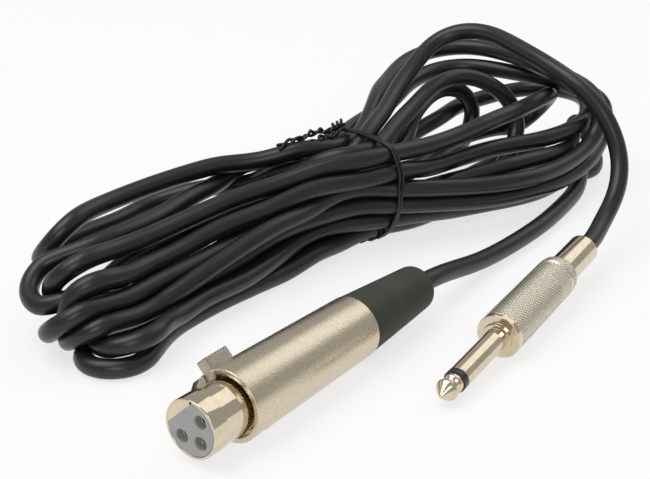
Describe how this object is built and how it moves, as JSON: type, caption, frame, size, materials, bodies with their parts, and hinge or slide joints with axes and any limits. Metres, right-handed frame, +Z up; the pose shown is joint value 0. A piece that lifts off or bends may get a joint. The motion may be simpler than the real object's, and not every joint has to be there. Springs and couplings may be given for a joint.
{
  "type": "microphone cable",
  "caption": "Microphone cable with a latching socket connector and a straight jack plug, wound into a long hank held at the waist by a twisted wire tie.",
  "frame": {"origin": "middle of the two connectors' box in plan, on the surface that the cable lies on", "axes": "+Z up; -X along the XLR connector, out of its mating face; +Y from the connectors towards the hank"},
  "size_m": [0.2303, 0.1314, 0.0557],
  "materials": {
    "satin_nickel": "satin nickel plate over a die-cast shell",
    "bright_nickel": "bright nickel plate",
    "bright_brass": "bright nickel plate over brass",
    "knurled_brass": "nickel plate over knurled brass",
    "latch_metal": "nickel-plated pressed steel",
    "contact_metal": "plated brass",
    "small_steel": "plain steel",
    "grey_insert": "moulded grey plastic",
    "boot_rubber": "dark grey-green rubber",
    "black_plastic": "black plastic",
    "black_ring": "gloss black plastic",
    "fibre": "dark fibre board",
    "liner_paper": "pale liner",
    "core_red": "coloured core insulation",
    "cable_jacket": "black PVC with a soft sheen",
    "tie_plastic": "black coated wire"
  },
  "bodies": {
    "cable_and_connectors": {"xlr_shell": "satin_nickel", "xlr_nose": "bright_nickel", "xlr_insert": "grey_insert", "xlr_contact_1": "contact_metal", "xlr_contact_2": "contact_metal", "xlr_contact_3": "contact_metal", "xlr_latch_pin": "small_steel", "xlr_latch_spring": "small_steel", "xlr_set_screw": "small_steel", "xlr_cable_clamp": "black_plastic", "xlr_boot": "boot_rubber", "xlr_cores": "core_red", "jack_tip": "bright_brass", "jack_insulator": "black_ring", "jack_sleeve": "bright_brass", "jack_washer": "fibre", "jack_tip_lug": "contact_metal", "jack_ground_strip": "contact_metal", "jack_barrel": "knurled_brass", "jack_liner": "liner_paper", "jack_cores": "core_red", "cable_xlr_lead": "cable_jacket", "cable_hank": "cable_jacket", "cable_jack_lead": "cable_jacket", "twist_tie": "tie_plastic"},
    "latch": {"xlr_latch": "latch_metal"}
  },
  "joints": [
    {"name": "latch_press", "type": "hinge", "parent": "cable_and_connectors", "child": "latch", "pos_m": [-0.0438, 0.01758, 0.01431], "axis": [0, -0.7193, 0.6947], "range_deg": [0, 3.8], "stiffness_Nm_per_rad": 0.3, "springref_deg": -5.73}
  ]
}
